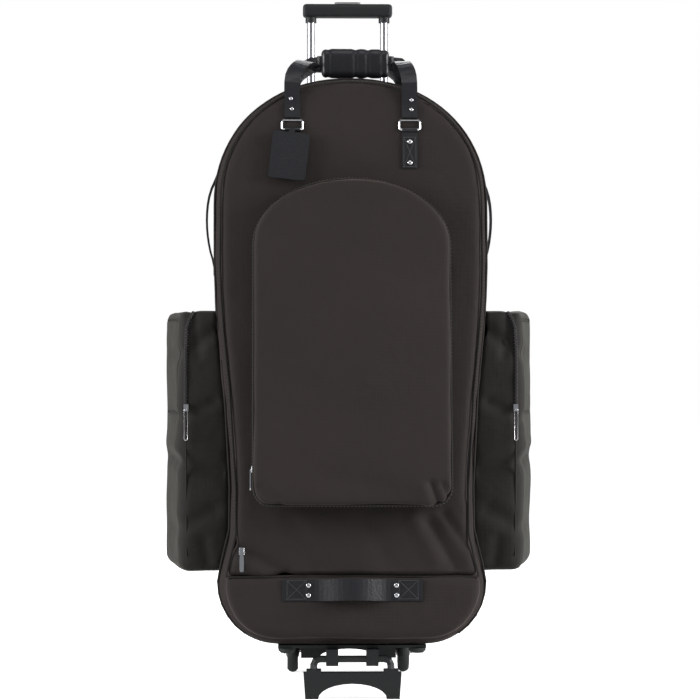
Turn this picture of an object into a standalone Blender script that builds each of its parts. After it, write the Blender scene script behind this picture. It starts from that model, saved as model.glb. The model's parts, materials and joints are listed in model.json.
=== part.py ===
"""Wheeled soft bag for a tuba, standing bell end down on two rear wheels and a front stand.

Metres, +Z up. The front faces -Y and the origin is on the floor, under the middle of the whole bag.
The padded body is one upright outline, drawn in X and Z and carried along Y. Its back is upright and
its front leans back, so each front piece is drawn upright too and sheared onto the leaning front.
"""

import math

import bmesh
import bpy
from mathutils import Matrix, Vector

# Gap left between two pieces that touch, and the running gap of a pin or tube in its bore.
GAP = 0.0003
RUNNING_GAP = 0.0005

# Padded body, seen from the front.
BASE_HEIGHT = 0.085
BODY_HEIGHT = 0.945
DOME_HEIGHT = 0.216
DOME_FULLNESS = 2.15
SHOULDER_HALF_WIDTH = 0.2305
WAIST_HALF_WIDTH = 0.2035
FLARE_HALF_WIDTH = 0.2215
WAIST_TOP = 0.255
SHOULDER_BOTTOM = 0.635
WAIST_BOTTOM = 0.185
CORNER_RADIUS = 0.100

# Padded body, seen from the side. The depth is the one at the lid's hinge line.
HINGE_HEIGHT = 0.115
HINGE_DEPTH = 0.390
TOP_DEPTH = 0.260
WALL = 0.030
LID_THICKNESS = 0.026
LID_INSET = 0.014
BACK_ROUNDING = 0.022
SHOULDER_ROUNDING = 0.020
NECK_LENGTH = 0.012
FRONT_ROUNDING = 0.010

# Zip tapes on both sides of the seam round the lid, and the zip sliders with their pulls.
TAPE_WIDTH = 0.010
TAPE_THICKNESS = 0.0016
SLIDER_LENGTH = 0.012
SLIDER_WIDTH = 0.009
SLIDER_HEIGHT = 0.0045
PULL_LENGTH = 0.034
PULL_WIDTH = 0.007
PULL_THICKNESS = 0.0018
MAIN_SLIDER_START = 0.040

# Front pocket on the lid, heights from the underside of the body.
POCKET_BOTTOM = 0.233
POCKET_TOP = 0.764
POCKET_HALF_WIDTH = 0.160
POCKET_ARCH = 0.108
POCKET_CORNER = 0.028
POCKET_DEPTH = 0.040
POCKET_WALL = 0.008
DOOR_THICKNESS = 0.010
DOOR_ROUNDING = 0.005
POCKET_SLIDER_START = 0.028

# Side pockets, seen from above and from the front.
SIDE_POCKET_BOTTOM = 0.114
SIDE_POCKET_HEIGHT = 0.435
SIDE_POCKET_DEPTH = 0.205
SIDE_POCKET_BACK_SPACE = 0.075
SIDE_POCKET_FRONT_REACH = 0.284
SIDE_POCKET_BACK_REACH = 0.318
SIDE_POCKET_WALL = 0.008
SIDE_POCKET_ROUNDING = 0.014
FLAP_HEIGHT = 0.172
FLAP_EDGE = 0.016

# Carry handles, their tabs and rings.
STRAP_SPACING = 0.196
STRAP_WIDTH = 0.026
STRAP_THICKNESS = 0.004
STRAP_LEAD = 0.0055
SLOT_GAP = 0.0020
RING_HEIGHT_ON_BODY = 0.850
RING_WIDTH = 0.037
RING_CORNER = 0.0035
RING_LENGTH = 0.020
RING_WIRE = 0.0036
TAB_LENGTH = 0.066
TAB_THICKNESS = 0.004
EYE_WALL = 0.0017
WRAP_LENGTH = 0.117
WRAP_DEPTH = 0.028
WRAP_HEIGHT = 0.050
WRAP_SHIFT = 0.010
WRAP_SETBACK = 0.095
WRAP_CLEARANCE = 0.003
WRAP_ROUNDING = 0.010
RIVET_HEAD = 0.0045
RIVET_RISE = 0.0014
RIVET_PLATE = 0.0008

# Drag handle on the lower front, grab handles on the sides, and the luggage tag.
DRAG_HEIGHT_ON_BODY = 0.092
DRAG_LENGTH = 0.229
DRAG_WIDTH = 0.035
DRAG_THICKNESS = 0.004
DRAG_RIVET_SPACING = 0.143
DRAG_RIVET_PITCH = 0.013
DRAG_BOW = 0.018
GRAB_BOTTOM = 0.612
GRAB_LENGTH = 0.190
GRAB_BOW = 0.013
GRAB_WIDTH = 0.028
GRAB_THICKNESS = 0.003
GRAB_END = 0.022
GRAB_SETBACK = 0.110
TAG_WIDTH = 0.062
TAG_LENGTH = 0.080
TAG_THICKNESS = 0.004
TAG_TILT = math.radians(6.5)
TAG_DROP = 0.007
TAG_CLEARANCE = 0.003
TAG_STRAP_WIDTH = 0.010
TAG_STRAP_THICKNESS = 0.0016

# Trolley on the back.
TUBE_SPACING = 0.130
TUBE_STANDOFF = 0.0055
OUTER_TUBE_RADIUS = 0.0095
OUTER_TUBE_BORE = 0.0076
INNER_TUBE_RADIUS = 0.007
OUTER_TUBE_LENGTH = 0.830
INNER_TUBE_LENGTH = 0.560
TUBE_FOOT = 0.004
TOP_BRACKET_HEIGHT = 0.036
TOP_BRACKET_MARGIN = 0.008
GRIP_TOP = 1.183
GRIP_LENGTH = 0.159
GRIP_HEIGHT = 0.021
GRIP_CROWN = 0.003
GRIP_DEPTH = 0.028
COLLAR_RADIUS = 0.0098
COLLAR_DROP = 0.009
BUTTON_LENGTH = 0.046
BUTTON_WIDTH = 0.012
BUTTON_HEIGHT = 0.008
BUTTON_RISE = 0.0035
BUTTON_TRAVEL = 0.003
TUBE_SEAT = 0.006

# Base board, wheels and front stand.
BOARD_THICKNESS = 0.0045
BOARD_MARGIN = 0.018
FOOT_SPACING = 0.242
FOOT_RADIUS = 0.014
FOOT_HEIGHT = 0.008
FOOT_SETBACK = 0.052
WHEEL_RADIUS = 0.038
WHEEL_WIDTH = 0.024
WHEEL_SPACING = 0.195
WHEEL_SETBACK = 0.020
HUB_RADIUS = 0.021
AXLE_RADIUS = 0.004
AXLE_HEAD = 0.0065
AXLE_HEAD_HEIGHT = 0.003
AXLE_GRIP = 0.030
BRACKET_FLOOR_GAP = 0.030
BRACKET_ARCH_RISE = 0.016
BRACKET_FRONT = 0.072
BRACKET_BACK_THICKNESS = 0.0285
BRACKET_BACK_HEIGHT = 0.046
STAND_SETBACK = 0.034
STAND_PIVOT_DROP = 0.017
STAND_BAR_RADIUS = 0.006
STAND_BAR_SPACING = 0.126
STAND_TOE = 0.008
STAND_PLATE_WIDTH = 0.160
STAND_PLATE_HEIGHT = 0.043
STAND_PLATE_THICKNESS = 0.020
STAND_ARCH_HEIGHT = 0.025
STAND_FOOT_WIDTH = 0.024
STAND_SOCKET_HEIGHT = 0.005
STAND_SOCKET_WIDTH = 0.024
STAND_LUG_WIDTH = 0.020
STAND_LUG_WALL = 0.004

# Inside the bag.
BOARD_INSET = 0.050
BACK_BOARD_THICKNESS = 0.004
BELL_PAD_HEIGHT = 0.045
BELL_PAD_WIDTH = 0.045
BELL_PAD_OUTER = 0.150
CRADLE_THICKNESS = 0.035
CRADLE_DEPTH = 0.110

# Points that carry each round stretch.
ARC_STEPS = 8
DOME_STEPS = 22
SIDE_STEPS = 9

# Values worked out from the ones above.
BASE_Z = BASE_HEIGHT
TOP_Z = BASE_Z + BODY_HEIGHT
DOME_Z = TOP_Z - DOME_HEIGHT
HINGE_Z = BASE_Z + HINGE_HEIGHT
TAPER = (HINGE_DEPTH - TOP_DEPTH) / (TOP_Z - HINGE_Z)
LEAN = math.atan(TAPER)
POCKET_BOTTOM_Z = BASE_Z + POCKET_BOTTOM
POCKET_TOP_Z = BASE_Z + POCKET_TOP
POCKET_REACH = POCKET_DEPTH + DOOR_THICKNESS + GAP
FRONT_REACH = HINGE_DEPTH - (POCKET_BOTTOM_Z - HINGE_Z) * TAPER + POCKET_REACH
BACK_Y = (FRONT_REACH - BRACKET_BACK_THICKNESS) / 2
FRONT_NORMAL = Vector((0, -math.cos(LEAN), math.sin(LEAN)))
FRONT_UP = Vector((0, math.sin(LEAN), math.cos(LEAN)))
WRAP_Z = TOP_Z + WRAP_CLEARANCE + WRAP_HEIGHT / 2


def front_y(z):
    """The leaning plane of the lid's front face."""
    return BACK_Y - HINGE_DEPTH + (z - HINGE_Z) * TAPER


def seam_y(z):
    """The plane where the lid meets the rim of the main shell."""
    return front_y(z) + LID_THICKNESS


WRAP_Y = front_y(TOP_Z) + WRAP_SETBACK

BLACK_FABRIC = ((0.030, 0.025, 0.023), 0.85, 0.0)
POCKET_FABRIC = ((0.022, 0.022, 0.018), 0.85, 0.0)
BLACK_LEATHER = ((0.018, 0.018, 0.020), 0.45, 0.0)
BLACK_PLASTIC = ((0.035, 0.040, 0.040), 0.50, 0.0)
GREY_PLASTIC = ((0.20, 0.20, 0.20), 0.45, 0.0)
FOAM = ((0.06, 0.06, 0.065), 0.95, 0.0)
RUBBER = ((0.030, 0.034, 0.032), 0.75, 0.0)
STEEL = ((0.55, 0.55, 0.56), 0.25, 1.0)
ALUMINIUM = ((0.40, 0.40, 0.42), 0.35, 1.0)

MATERIALS = {}
PIVOTS = {}


# Scene and small tools.


def clear_scene():
    for obj in list(bpy.data.objects):
        bpy.data.objects.remove(obj, do_unlink=True)


def new_collection(name):
    collection = bpy.data.collections.new(name)
    bpy.context.scene.collection.children.link(collection)
    return collection


clear_scene()
PARTS = new_collection("tuba_wheelie_bag")
CUTTERS = new_collection("cutters")


def material(finish):
    if finish not in MATERIALS:
        colour, roughness, metallic = finish
        made = bpy.data.materials.new("finish")
        made.use_nodes = True
        shader = made.node_tree.nodes["Principled BSDF"]
        shader.inputs["Base Color"].default_value = (*colour, 1)
        shader.inputs["Roughness"].default_value = roughness
        shader.inputs["Metallic"].default_value = metallic
        MATERIALS[finish] = made
    return MATERIALS[finish]


def pivot(name, place, parent=None):
    """An empty on a joint's axis. What moves about it is its child."""
    empty = bpy.data.objects.new(name, None)
    PARTS.objects.link(empty)
    empty.location = place
    PIVOTS[name] = Vector(place)
    if parent:
        hang(empty, parent)


def hang(obj, parent):
    obj.parent = bpy.data.objects[parent]
    obj.matrix_parent_inverse = Matrix.Translation(-PIVOTS[parent])


def shade(obj, angle=35):
    obj.data.shade_smooth()
    obj.data.set_sharp_from_angle(angle=math.radians(angle))


def piece(name, mesh, finish=None, parent=None):
    """Links a mesh as a sub-part of the bag, or as a cutter where it has no finish."""
    obj = bpy.data.objects.new(name, mesh)
    if finish is None:
        CUTTERS.objects.link(obj)
        obj.hide_render = True
        obj.display_type = "WIRE"
        return obj
    PARTS.objects.link(obj)
    obj.data.materials.append(material(finish))
    shade(obj)
    if parent:
        hang(obj, parent)
    return obj


def mesh_from(name, shape):
    bmesh.ops.recalc_face_normals(shape, faces=shape.faces[:])
    mesh = bpy.data.meshes.new(name)
    shape.to_mesh(mesh)
    shape.free()
    return mesh


def loft(name, rings, finish=None, parent=None):
    """A closed body through rings of equal count, with a flat cap on the first and the last."""
    shape = bmesh.new()
    rows = [[shape.verts.new(point) for point in ring] for ring in rings]
    count = len(rings[0])
    for row, following in zip(rows, rows[1:]):
        for i in range(count):
            j = (i + 1) % count
            shape.faces.new((row[i], row[j], following[j], following[i]))
    shape.faces.new(rows[0])
    shape.faces.new(rows[-1])
    return piece(name, mesh_from(name, shape), finish, parent)


def box(name, low, high, finish=None, parent=None, rounding=0.0, segments=2):
    shape = bmesh.new()
    bmesh.ops.create_cube(shape, size=1.0)
    low = Vector(low)
    size = Vector(high) - low
    bmesh.ops.scale(shape, vec=size, verts=shape.verts)
    bmesh.ops.translate(shape, vec=low + size / 2, verts=shape.verts)
    obj = piece(name, mesh_from(name, shape), finish, parent)
    if rounding:
        round_edges(obj, rounding, segments)
    return obj


def round_edges(obj, width, segments=2):
    bevel = obj.modifiers.new("rounding", "BEVEL")
    bevel.width = width
    bevel.segments = segments
    bevel.limit_method = "ANGLE"
    bevel.angle_limit = math.radians(30)


def cut(obj, cutter, operation="DIFFERENCE"):
    boolean = obj.modifiers.new("cut", "BOOLEAN")
    boolean.operation = operation
    boolean.object = cutter


def rod(name, start, end, radius, finish=None, parent=None, sides=24):
    """A round bar between two points, from a cylinder primitive."""
    start = Vector(start)
    along = Vector(end) - start
    shape = bmesh.new()
    bmesh.ops.create_cone(
        shape, cap_ends=True, segments=sides, radius1=radius, radius2=radius, depth=along.length
    )
    turn = Vector((0, 0, 1)).rotation_difference(along).to_matrix().to_4x4()
    move = Matrix.Translation(start + along / 2)
    bmesh.ops.transform(shape, matrix=move @ turn, verts=shape.verts)
    return piece(name, mesh_from(name, shape), finish, parent)


def turned(name, profile, place, along, finish=None, parent=None, sides=32):
    """A turned shape: its profile of radius and height runs down the outer side, then the axis is laid."""
    mesh = bpy.data.meshes.new(name)
    points = [(radius, 0, height) for radius, height in profile]
    mesh.from_pydata(points, [(i, i + 1) for i in range(len(points) - 1)], [])
    obj = piece(name, mesh, finish, None)
    screw = obj.modifiers.new("turn", "SCREW")
    screw.steps = sides
    screw.render_steps = sides
    screw.use_merge_vertices = True
    screw.merge_threshold = 0.00001
    obj.rotation_euler = Vector((0, 0, 1)).rotation_difference(Vector(along)).to_euler()
    obj.location = place
    if parent:
        hang(obj, parent)
    return obj


def wire(name, points, radius, finish, parent=None, cyclic=False, resolution=1):
    curve = bpy.data.curves.new(name, "CURVE")
    curve.dimensions = "3D"
    curve.bevel_depth = radius
    curve.bevel_resolution = resolution
    curve.use_fill_caps = True
    spline = curve.splines.new("POLY")
    spline.points.add(len(points) - 1)
    for target, point in zip(spline.points, points):
        target.co = (*point, 1)
    spline.use_cyclic_u = cyclic
    obj = bpy.data.objects.new(name, curve)
    PARTS.objects.link(obj)
    curve.materials.append(material(finish))
    if parent:
        hang(obj, parent)
    return obj


def band(name, points, normals, width, thickness, finish, parent=None):
    """A flat strap: a strip along its middle line, made thick to both sides of that line."""
    shape = bmesh.new()
    points = [Vector(point) for point in points]
    rows = []
    for i, point in enumerate(points):
        along = points[min(i + 1, len(points) - 1)] - points[max(i - 1, 0)]
        across = along.cross(Vector(normals[i])).normalized() * width / 2
        rows.append((shape.verts.new(point - across), shape.verts.new(point + across)))
    for first, second in zip(rows, rows[1:]):
        shape.faces.new((first[0], first[1], second[1], second[0]))
    obj = piece(name, mesh_from(name, shape), finish, parent)
    solidify = obj.modifiers.new("thickness", "SOLIDIFY")
    solidify.thickness = thickness
    solidify.offset = 0.0
    return obj


def smooth_path(points, steps):
    """A smooth curve through the points, each stretch in equal steps."""
    points = [Vector(point) for point in points]
    ends = [points[0] * 2 - points[1]] + points + [points[-1] * 2 - points[-2]]
    path = []
    for a, b, c, d in zip(ends, ends[1:], ends[2:], ends[3:]):
        for step in range(steps):
            t = step / steps
            path.append(
                0.5 * (2 * b + (c - a) * t + (2 * a - 5 * b + 4 * c - d) * t**2
                       + (3 * b - a - 3 * c + d) * t**3)
            )
    path.append(points[-1])
    return path


def arc(centre, radius_x, radius_z, start, end, steps):
    """Points on an ellipse from one angle to another, both ends included."""
    points = []
    for i in range(steps + 1):
        angle = math.radians(start + (end - start) * i / steps)
        points.append((centre[0] + radius_x * math.cos(angle), centre[1] + radius_z * math.sin(angle)))
    return points


def inset(outline, distance):
    """The closed outline moved inwards, each corner along its mitre."""
    count = len(outline)
    moved = []
    for i, (x, z) in enumerate(outline):
        before = Vector(outline[i - 1])
        here = Vector((x, z))
        after = Vector(outline[(i + 1) % count])
        first = (here - before).normalized()
        second = (after - here).normalized()
        normal = Vector((-first.y - second.y, first.x + second.x))
        normal /= max(normal.length_squared / 2, 0.2)
        moved.append((x + normal.x * distance, z + normal.y * distance))
    return moved


def smooth_step(value):
    value = min(max(value, 0.0), 1.0)
    return value * value * (3 - 2 * value)


# Padded body.


def half_width(z):
    """Half the width of the body's side at a height between the bottom corner and the dome."""
    height = z - BASE_Z
    waist = smooth_step((SHOULDER_BOTTOM - height) / (SHOULDER_BOTTOM - WAIST_TOP))
    flare = smooth_step((WAIST_BOTTOM - height) / (WAIST_BOTTOM - CORNER_RADIUS))
    narrow = SHOULDER_HALF_WIDTH - (SHOULDER_HALF_WIDTH - WAIST_HALF_WIDTH) * waist
    return narrow + (FLARE_HALF_WIDTH - WAIST_HALF_WIDTH) * flare


def right_side():
    """The body's right outline, from the bottom middle up to the top middle."""
    corner = (FLARE_HALF_WIDTH - CORNER_RADIUS, BASE_Z + CORNER_RADIUS)
    points = [(0.0, BASE_Z)]
    points += arc(corner, CORNER_RADIUS, CORNER_RADIUS, -90, 0, ARC_STEPS)
    start = BASE_Z + CORNER_RADIUS
    knees = [BASE_Z + WAIST_BOTTOM, BASE_Z + WAIST_TOP]
    for z in (start + (knees[0] - start) / 3, start + (knees[0] - start) * 2 / 3, *knees):
        points.append((half_width(z), z))
    for i in range(1, SIDE_STEPS + 1):
        z = knees[1] + (DOME_Z - knees[1]) * i / SIDE_STEPS
        points.append((half_width(z), z))
    for i in range(1, DOME_STEPS + 1):
        turn = math.radians(90 * i / DOME_STEPS)
        x = SHOULDER_HALF_WIDTH * max(math.cos(turn), 0) ** (2 / DOME_FULLNESS)
        z = DOME_Z + DOME_HEIGHT * math.sin(turn) ** (2 / DOME_FULLNESS)
        points.append((x, z))
    return points


def body_outline():
    """The whole outline, anticlockwise as seen from the front."""
    right = right_side()
    right[-1] = (0.0, TOP_Z)
    left = [(-x, z) for x, z in reversed(right[1:-1])]
    return right + left


def placed(outline, depth):
    """Outline points laid at a depth, which is a number or a plane that depends on the height."""
    return [(x, depth(z) if callable(depth) else depth, z) for x, z in outline]


def plane(base, distance):
    return lambda z: base(z) + distance


def main_shell():
    outline = body_outline()
    neck = inset(outline, LID_INSET)
    inside = inset(outline, WALL)
    rings = [
        placed(inset(outline, BACK_ROUNDING), BACK_Y),
        placed(inset(outline, BACK_ROUNDING * 0.29), BACK_Y - BACK_ROUNDING * 0.29),
        placed(outline, BACK_Y - BACK_ROUNDING),
        placed(outline, plane(seam_y, NECK_LENGTH + SHOULDER_ROUNDING)),
        placed(inset(outline, LID_INSET * 0.29), plane(seam_y, NECK_LENGTH + SHOULDER_ROUNDING * 0.29)),
        placed(neck, plane(seam_y, NECK_LENGTH)),
        placed(neck, seam_y),
        placed(inside, seam_y),
        placed(inside, BACK_Y - WALL),
    ]
    loft("main_shell", rings, BLACK_FABRIC)


def crossing(outline, level):
    """The half width where an outline's right side meets a level."""
    right = [point for point in outline if point[0] > 0]
    for (x1, z1), (x2, z2) in zip(right, right[1:]):
        if z1 <= level < z2:
            return x1 + (x2 - x1) * (level - z1) / (z2 - z1)
    return 0.0


def upper_outline(outline, level):
    """The part of an outline above a level, closed by a straight bottom edge."""
    x = crossing(outline, level)
    above = [point for point in outline if point[1] > level + 0.001]
    right = [point for point in above if point[0] >= 0]
    left = [point for point in above if point[0] < 0]
    return [(x, level)] + right + left + [(-x, level)]


def lower_outline(outline, level):
    x = crossing(outline, level)
    below = [point for point in outline if point[1] < level - 0.001]
    right = [point for point in below if point[0] >= 0]
    left = [point for point in below if point[0] < 0]
    return right + [(x, level), (-x, level)] + left


def slab(name, outline, back, front, rounding, finish, parent=None):
    """A padded panel on the leaning front, its front edge rounded. Depths are from the front plane."""
    rings = [
        placed(outline, plane(front_y, back)),
        placed(outline, plane(front_y, front + rounding)),
        placed(inset(outline, rounding * 0.29), plane(front_y, front + rounding * 0.29)),
        placed(inset(outline, rounding), plane(front_y, front)),
    ]
    return loft(name, rings, finish, parent)


def lid_outline():
    return upper_outline(inset(body_outline(), LID_INSET), HINGE_Z + GAP)


def lid_panel():
    slab("lid_panel", lid_outline(), LID_THICKNESS - GAP, 0, FRONT_ROUNDING, BLACK_FABRIC, "lid")


def lower_front_panel():
    outline = lower_outline(inset(body_outline(), LID_INSET), HINGE_Z - GAP)
    slab("lower_front_panel", outline, LID_THICKNESS - GAP, 0, FRONT_ROUNDING, BLACK_FABRIC)


def zip_tape(name, start, end, parent=None):
    """One half of the main zip: a tape round the lid, open at the bottom where the hinge is."""
    outline = upper_outline(inset(body_outline(), LID_INSET - GAP), HINGE_Z + TAPE_WIDTH / 2)
    inner = [Vector(point) for point in outline]
    outer = [Vector(point) for point in inset(outline, -TAPE_THICKNESS)]
    outer[0].y = inner[0].y
    outer[-1].y = inner[-1].y
    sections = []
    for a, b in zip(inner, outer):
        near = seam_y(a.y) + start
        far = seam_y(a.y) + end
        sections.append([(a.x, near, a.y), (b.x, near, b.y), (b.x, far, b.y), (a.x, far, a.y)])
    loft(name, sections, BLACK_FABRIC, parent)


# Inside the bag.


def back_board():
    outline = inset(body_outline(), BOARD_INSET)
    face = BACK_Y - WALL - GAP
    loft("back_board", [placed(outline, face - BACK_BOARD_THICKNESS), placed(outline, face)], GREY_PLASTIC)


def bell_pad():
    """A foam ring on the floor of the shell, where the bell's rim stands."""
    floor = BASE_Z + WALL + GAP
    depth = (seam_y(floor) + BACK_Y - WALL) / 2
    inner = BELL_PAD_OUTER - BELL_PAD_WIDTH
    top = floor + BELL_PAD_HEIGHT
    soft = BELL_PAD_WIDTH * 0.25
    profile = [
        (inner + soft, top), (BELL_PAD_OUTER - soft, top), (BELL_PAD_OUTER, top - soft),
        (BELL_PAD_OUTER, floor + soft * 2), (BELL_PAD_OUTER - soft * 3, floor), (inner, floor),
        (inner, top - soft), (inner + soft, top),
    ]
    turned("bell_pad", profile, (0, depth, 0), (0, 0, 1), FOAM)


def bow_cradle():
    """A foam crescent under the dome that steadies the instrument's bottom bow."""
    inside = inset(body_outline(), WALL + GAP)
    deep = inset(body_outline(), WALL + GAP + CRADLE_THICKNESS)
    level = DOME_Z + DOME_HEIGHT * 0.45
    outer = [point for point in inside if point[1] > level]
    inner = [point for point in deep if point[1] > level]
    outer.sort(key=lambda point: point[0])
    inner.sort(key=lambda point: -point[0])
    outline = [Vector((x, z)) for x, z in outer + inner]
    middle = BACK_Y - WALL - BACK_BOARD_THICKNESS - GAP * 3 - CRADLE_DEPTH / 2
    ring = [(point.x, middle - CRADLE_DEPTH / 2, point.y) for point in outline]
    far = [(point.x, middle + CRADLE_DEPTH / 2, point.y) for point in outline]
    loft("bow_cradle", [ring, far], FOAM)


# Front pocket on the lid.


def pocket_outline():
    """Arched top and round lower corners, anticlockwise as seen from the front."""
    arch_z = POCKET_TOP_Z - POCKET_ARCH
    corner_x = POCKET_HALF_WIDTH - POCKET_CORNER
    corner_z = POCKET_BOTTOM_Z + POCKET_CORNER
    points = arc((corner_x, corner_z), POCKET_CORNER, POCKET_CORNER, -90, 0, 4)
    points += arc((0, arch_z), POCKET_HALF_WIDTH, POCKET_ARCH, 0, 180, 20)
    points += arc((-corner_x, corner_z), POCKET_CORNER, POCKET_CORNER, 180, 270, 4)
    return points


def front_pocket_gusset():
    """The pocket's side wall, a ring that is open at the front and backed by the lid."""
    outer = pocket_outline()
    inner = inset(outer, POCKET_WALL)
    back = plane(front_y, -GAP)
    front = plane(front_y, -POCKET_DEPTH)
    shape = bmesh.new()
    rings = [placed(outer, back), placed(outer, front), placed(inner, front), placed(inner, back)]
    rows = [[shape.verts.new(point) for point in ring] for ring in rings]
    count = len(outer)
    for row, following in zip(rows, rows[1:] + rows[:1]):
        for i in range(count):
            j = (i + 1) % count
            shape.faces.new((row[i], row[j], following[j], following[i]))
    piece("front_pocket_gusset", mesh_from("front_pocket_gusset", shape), BLACK_FABRIC, "lid")


def front_pocket_door():
    back = -POCKET_DEPTH - GAP
    front = back - DOOR_THICKNESS
    slab("front_pocket_door", pocket_outline(), back, front, DOOR_ROUNDING, BLACK_FABRIC, "pocket_door")


# Side pockets.


def side_pocket_plan(side, wall):
    """The pocket seen from above, as front inner, front outer, back outer and back inner corners."""
    back = BACK_Y - SIDE_POCKET_BACK_SPACE - wall
    front = BACK_Y - SIDE_POCKET_BACK_SPACE - SIDE_POCKET_DEPTH + wall
    near = SIDE_POCKET_FRONT_REACH - wall
    far = SIDE_POCKET_BACK_REACH - wall
    inner = WAIST_HALF_WIDTH - LID_INSET
    return [(side * x, y) for x, y in ((inner, front), (near, front), (far, back), (inner, back))]


def side_pocket_levels():
    bottom = BASE_Z + SIDE_POCKET_BOTTOM
    top = bottom + SIDE_POCKET_HEIGHT
    return bottom, top, top - FLAP_HEIGHT


def flap_frame(side):
    """The outer face's line seen from above: its start at the front, its direction and its outward normal."""
    plan = side_pocket_plan(side, 0)
    start = Vector((*plan[1], 0))
    along = (Vector((*plan[2], 0)) - start).normalized()
    outward = Vector((along.y, -along.x, 0)) * side
    return start, along, outward


def side_pocket(side, word):
    bottom, top, hinge = side_pocket_levels()
    plan = side_pocket_plan(side, 0)
    block = loft(
        f"side_pocket_{word}",
        [[(x, y, bottom) for x, y in plan], [(x, y, top) for x, y in plan]],
        POCKET_FABRIC,
    )
    round_edges(block, SIDE_POCKET_ROUNDING)
    hollow_plan = side_pocket_plan(side, SIDE_POCKET_WALL)
    low = bottom + SIDE_POCKET_WALL
    high = top - SIDE_POCKET_WALL
    hollow = loft(
        f"side_pocket_hollow_{word}",
        [[(x, y, low) for x, y in hollow_plan], [(x, y, high) for x, y in hollow_plan]],
    )
    grown = inset(body_outline(), -GAP)
    reach = HINGE_DEPTH
    body = loft(f"body_clearance_{word}", [placed(grown, BACK_Y - reach), placed(grown, BACK_Y + WALL)])
    window = flap_block(f"flap_window_{word}", side, GAP, SIDE_POCKET_WALL + GAP, None)
    cut(block, body)
    cut(block, hollow)
    cut(block, window)
    shade(block)


def flap_block(name, side, margin, depth, finish, parent=None):
    """The block of the flap, or with a margin its window in the pocket's outer wall."""
    bottom, top, hinge = side_pocket_levels()
    start, along, outward = flap_frame(side)
    plan = side_pocket_plan(side, 0)
    length = (Vector(plan[2]) - Vector(plan[1])).length
    first = start + along * (FLAP_EDGE - margin)
    last = start + along * (length - FLAP_EDGE + margin)
    inner = -outward * depth
    outer = outward * margin * 2
    foot = hinge - margin
    head = top - FLAP_EDGE + margin
    corners = [first + inner, first + outer, last + outer, last + inner]
    rings = [[(p.x, p.y, foot) for p in corners], [(p.x, p.y, head) for p in corners]]
    return loft(name, rings, finish, parent)


def side_pocket_flap(side, word):
    flap_block(
        f"side_pocket_flap_{word}", side, 0.0, SIDE_POCKET_WALL, POCKET_FABRIC, f"flap_{word}"
    )


# Handles.


def strap_anchor(side, back=False):
    """The axis of a ring's lower bar in its tab, on the front of the lid or on the back panel."""
    z = BASE_Z + RING_HEIGHT_ON_BODY
    x = side * STRAP_SPACING / 2
    stand_off = RING_WIRE / 2 + RUNNING_GAP + EYE_WALL + GAP
    if back:
        return Vector((x, BACK_Y + stand_off, z))
    return Vector((x, front_y(z), z)) + FRONT_NORMAL * stand_off


def strap_tab(name, anchor, lean, facing, finish, parent=None):
    """A leather tab with an eye round the ring's lower bar, cut as one outline and carried along X."""
    bore = RING_WIRE / 2 + RUNNING_GAP
    outside = bore + EYE_WALL
    curve = bpy.data.curves.new(name, "CURVE")
    curve.dimensions = "2D"
    curve.fill_mode = "BOTH"
    curve.extrude = STRAP_WIDTH / 2
    turn_start = math.degrees(math.asin(min((outside - TAB_THICKNESS) / outside, 1)))
    rim = []
    steps = 12
    start = 180 + turn_start
    end = 180 + turn_start + 360 - (90 + turn_start)
    for i in range(steps + 1):
        angle = math.radians(start - (end - start) * i / steps)
        rim.append((outside * math.cos(angle), outside * math.sin(angle)))
    foot = -TAB_LENGTH
    outer = rim + [(foot, -outside), (foot, -outside + TAB_THICKNESS)]
    hole = arc((0, 0), bore, bore, 0, 345, 11)
    for points in (outer, hole):
        spline = curve.splines.new("POLY")
        spline.points.add(len(points) - 1)
        for target, (x, y) in zip(spline.points, points):
            target.co = (x, y, 0, 1)
        spline.use_cyclic_u = True
    obj = bpy.data.objects.new(name, curve)
    PARTS.objects.link(obj)
    curve.materials.append(material(finish))
    up = Vector((0, math.sin(lean), math.cos(lean)))
    out = Vector((0, facing * math.cos(lean), -facing * math.sin(lean)))
    sideways = up.cross(out)
    turn = Matrix((up, out, sideways)).transposed().to_4x4()
    obj.matrix_world = Matrix.Translation(anchor) @ turn
    if parent:
        obj.parent = bpy.data.objects[parent]
        obj.matrix_parent_inverse = Matrix.Translation(-PIVOTS[parent])
    return obj


def ring(name, anchor, up, parent):
    """A rounded wire loop that stands up from its lower bar."""
    right = RING_WIDTH / 2 - RING_WIRE / 2 - RING_CORNER
    high = RING_LENGTH - RING_WIRE - RING_CORNER
    points = []
    for cx, cz, start in ((right, RING_CORNER, -90), (right, high, 0), (-right, high, 90), (-right, RING_CORNER, 180)):
        points += arc((cx, cz), RING_CORNER, RING_CORNER, start, start + 90, 3)
    path = [anchor + Vector((x, 0, 0)) + up * z for x, z in points]
    return wire(name, path, RING_WIRE / 2, STEEL, parent, cyclic=True)


def strap_lift():
    """From the ring's lower bar to the start of the strap above its upper bar."""
    return RING_LENGTH - RING_WIRE / 2 + STRAP_THICKNESS / 2 + GAP


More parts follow.
